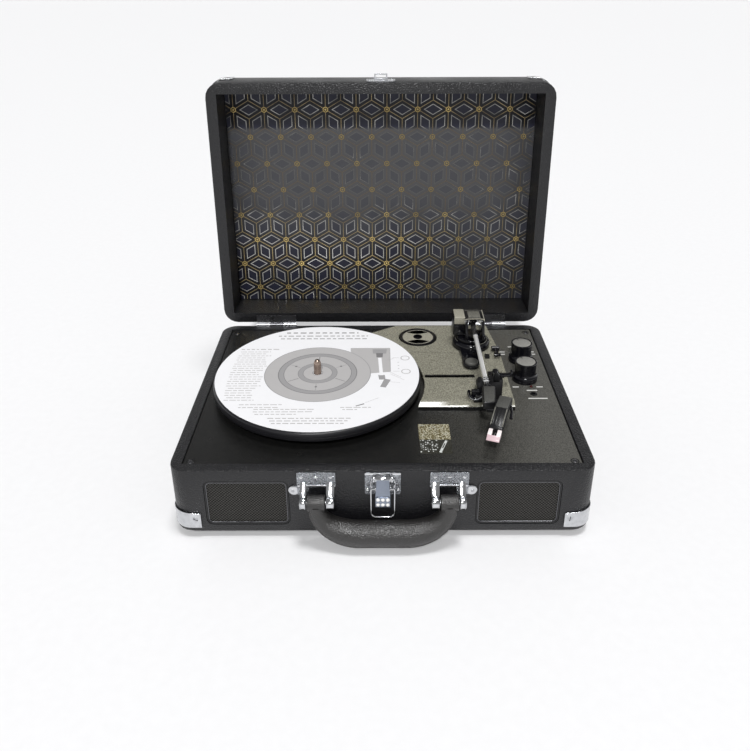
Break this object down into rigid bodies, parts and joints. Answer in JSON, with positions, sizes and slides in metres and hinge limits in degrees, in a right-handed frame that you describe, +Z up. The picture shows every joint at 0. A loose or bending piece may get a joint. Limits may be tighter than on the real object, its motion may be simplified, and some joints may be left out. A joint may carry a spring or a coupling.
{
  "type": "suitcase record player",
  "caption": "Portable record player in a hinged carrying case: belt-driven platter, tonearm on a swivel, twin front speakers, patterned lid, latch and carrying handle.",
  "frame": {"origin": "middle of the bounding box on the surface the feet stand on, with the lid open and the arm on its rest", "axes": "+X to the right of someone facing the front, +Y from the front (handle side) to the hinges, +Z up"},
  "size_m": [0.3522, 0.3416, 0.3367],
  "materials": {
    "adapter_45": "black with a pale centre",
    "arm_clip": "satin black",
    "arm_rest": "gloss black",
    "arm_tube": "polished",
    "arm_yoke": "black with textured grey tops",
    "auto_stop_switch": "satin black",
    "base_case": "fine-grained black leatherette over fibreboard",
    "base_corner_front_left": "bright pressed metal",
    "base_corner_front_right": "bright pressed metal",
    "base_corner_rear_left": "bright pressed metal",
    "base_corner_rear_right": "bright pressed metal",
    "bearing_bush": "turned",
    "card_disc": "white printed card",
    "cartridge": "ribbed satin black",
    "control_board": "green circuit board",
    "cue_lever": "satin black",
    "cue_pad": "matte",
    "deck_plate": "satin black moulded deck",
    "drive_belt": "matte",
    "foot_front_left": "matte",
    "foot_front_right": "matte",
    "foot_rear_left": "matte",
    "foot_rear_right": "matte",
    "grille_left": "black woven mesh in a thin frame",
    "grille_right": "black woven mesh in a thin frame",
    "handle": "stitched black leatherette",
    "handle_bracket_left": "bright",
    "handle_bracket_right": "bright",
    "headphone_jack": "moulded",
    "headshell": "satin black",
    "hinge_base_leaf_left": "plain",
    "hinge_base_leaf_right": "plain",
    "hinge_lid_leaf_left": "plain",
    "hinge_lid_leaf_right": "plain",
    "hinge_pin_left": "plain",
    "hinge_pin_right": "plain",
    "latch_lever": "bright",
    "latch_loop": "bright wire",
    "latch_plate": "bright",
    "lid_case": "fine-grained black leatherette over fibreboard",
    "lid_corner_front_left": "bright pressed metal",
    "lid_corner_front_right": "bright pressed metal",
    "lid_corner_rear_left": "bright pressed metal",
    "lid_corner_rear_right": "bright pressed metal",
    "lid_keeper": "bright",
    "lid_lining": "printed satin lining",
    "main_board": "green circuit board",
    "motor": "zinc-plated can",
    "motor_pulley": "turned",
    "platter": "satin black",
    "power_led": "translucent red",
    "rear_jack_plate": "moulded",
    "source_knob": "satin grey top over a gloss black skirt",
    "speaker_left": "paper cone in a steel basket",
    "speaker_right": "paper cone in a steel basket",
    "speed_switch": "satin black",
    "spindle": "polished",
    "stylus": "pale pink",
    "tonearm_base": "gloss black",
    "volume_knob": "satin grey top over a gloss black skirt"
  },
  "bodies": {
    "base": {"base_case": "base_case", "deck_plate": "deck_plate", "grille_left": "grille_left", "grille_right": "grille_right", "speaker_left": "speaker_left", "speaker_right": "speaker_right", "main_board": "main_board", "control_board": "control_board", "motor": "motor", "drive_belt": "drive_belt", "bearing_bush": "bearing_bush", "foot_front_left": "foot_front_left", "foot_front_right": "foot_front_right", "foot_rear_left": "foot_rear_left", "foot_rear_right": "foot_rear_right", "base_corner_front_left": "base_corner_front_left", "base_corner_front_right": "base_corner_front_right", "base_corner_rear_left": "base_corner_rear_left", "base_corner_rear_right": "base_corner_rear_right", "rear_jack_plate": "rear_jack_plate", "headphone_jack": "headphone_jack", "power_led": "power_led", "tonearm_base": "tonearm_base", "arm_rest": "arm_rest", "latch_plate": "latch_plate", "handle_bracket_left": "handle_bracket_left", "handle_bracket_right": "handle_bracket_right", "hinge_base_leaf_left": "hinge_base_leaf_left", "hinge_base_leaf_right": "hinge_base_leaf_right", "hinge_pin_left": "hinge_pin_left", "hinge_pin_right": "hinge_pin_right"},
    "lid": {"lid_case": "lid_case", "lid_lining": "lid_lining", "lid_keeper": "lid_keeper", "hinge_lid_leaf_left": "hinge_lid_leaf_left", "hinge_lid_leaf_right": "hinge_lid_leaf_right", "lid_corner_front_left": "lid_corner_front_left", "lid_corner_front_right": "lid_corner_front_right", "lid_corner_rear_left": "lid_corner_rear_left", "lid_corner_rear_right": "lid_corner_rear_right"},
    "platter": {"platter": "platter", "card_disc": "card_disc", "spindle": "spindle"},
    "pulley": {"motor_pulley": "motor_pulley"},
    "volume_knob": {"volume_knob": "volume_knob"},
    "source_knob": {"source_knob": "source_knob"},
    "arm_swivel": {"arm_yoke": "arm_yoke"},
    "arm": {"arm_tube": "arm_tube", "headshell": "headshell", "cartridge": "cartridge", "stylus": "stylus"},
    "cue_lever": {"cue_lever": "cue_lever"},
    "cue_pad": {"cue_pad": "cue_pad"},
    "arm_clip": {"arm_clip": "arm_clip"},
    "speed_switch": {"speed_switch": "speed_switch"},
    "auto_stop_switch": {"auto_stop_switch": "auto_stop_switch"},
    "adapter_45": {"adapter_45": "adapter_45"},
    "latch_lever": {"latch_lever": "latch_lever"},
    "latch_loop": {"latch_loop": "latch_loop"},
    "handle": {"handle": "handle"}
  },
  "joints": [
    {"name": "lid_hinge", "type": "hinge", "parent": "base", "child": "lid", "pos_m": [0, 0.11582, 0.0671], "axis": [-1, 0, 0], "range_deg": [-92, 0]},
    {"name": "platter_spin", "type": "hinge", "parent": "base", "child": "platter", "pos_m": [-0.061, -0.01888, 0.0675], "axis": [0, 0, 1], "continuous": true},
    {"name": "pulley_spin", "type": "hinge", "parent": "base", "child": "pulley", "pos_m": [-0.061, 0.06112, 0.0675], "axis": [0, 0, 1], "continuous": true},
    {"name": "volume_turn", "type": "hinge", "parent": "base", "child": "volume_knob", "pos_m": [0.14, -0.00288, 0.0675], "axis": [0, 0, -1], "range_deg": [0, 280]},
    {"name": "source_turn", "type": "hinge", "parent": "base", "child": "source_knob", "pos_m": [0.1425, 0.03512, 0.0675], "axis": [0, 0, -1], "range_deg": [0, 90]},
    {"name": "arm_swing", "type": "hinge", "parent": "base", "child": "arm_swivel", "pos_m": [0.0935, 0.05612, 0.0675], "axis": [0, 0, -1], "range_deg": [0, 45]},
    {"name": "arm_lift", "type": "hinge", "parent": "arm_swivel", "child": "arm", "pos_m": [0.0935, 0.06112, 0.0995], "axis": [-1, 0, 0], "range_deg": [0, 12]},
    {"name": "cue_lever_turn", "type": "hinge", "parent": "base", "child": "cue_lever", "pos_m": [0.117, 0.04112, 0.077], "axis": [-1, 0, 0], "range_deg": [0, 55]},
    {"name": "cue_pad_lift", "type": "slide", "parent": "base", "child": "cue_pad", "axis": [0, 0, 1], "range_m": [0, 0.006]},
    {"name": "arm_clip_turn", "type": "hinge", "parent": "base", "child": "arm_clip", "pos_m": [0.103, -0.05088, 0.101], "axis": [0, -1, 0], "range_deg": [0, 178]},
    {"name": "speed_slide", "type": "slide", "parent": "base", "child": "speed_switch", "axis": [0, 1, 0], "range_m": [0, 0.008]},
    {"name": "auto_stop_slide", "type": "slide", "parent": "base", "child": "auto_stop_switch", "axis": [0, 1, 0], "range_m": [0, 0.006]},
    {"name": "adapter_lift", "type": "slide", "parent": "base", "child": "adapter_45", "axis": [0, 0, 1], "range_m": [0, 0.03]},
    {"name": "latch_lever_turn", "type": "hinge", "parent": "base", "child": "latch_lever", "pos_m": [0, -0.15108, 0.0625], "axis": [-1, 0, 0], "range_deg": [0, 90]},
    {"name": "latch_loop_turn", "type": "hinge", "parent": "latch_lever", "child": "latch_loop", "pos_m": [0, -0.15228, 0.0535], "axis": [-1, 0, 0], "range_deg": [0, 90]},
    {"name": "handle_swing", "type": "hinge", "parent": "base", "child": "handle", "pos_m": [0, -0.15688, 0.0435], "axis": [-1, 0, 0], "range_deg": [0, 100]}
  ],
  "couplings": [
    {"joint": "pulley_spin", "follows": "platter_spin", "ratio": 12.1},
    {"joint": "cue_pad_lift", "follows": "cue_lever_turn", "m_per_rad": 0.0062503}
  ]
}
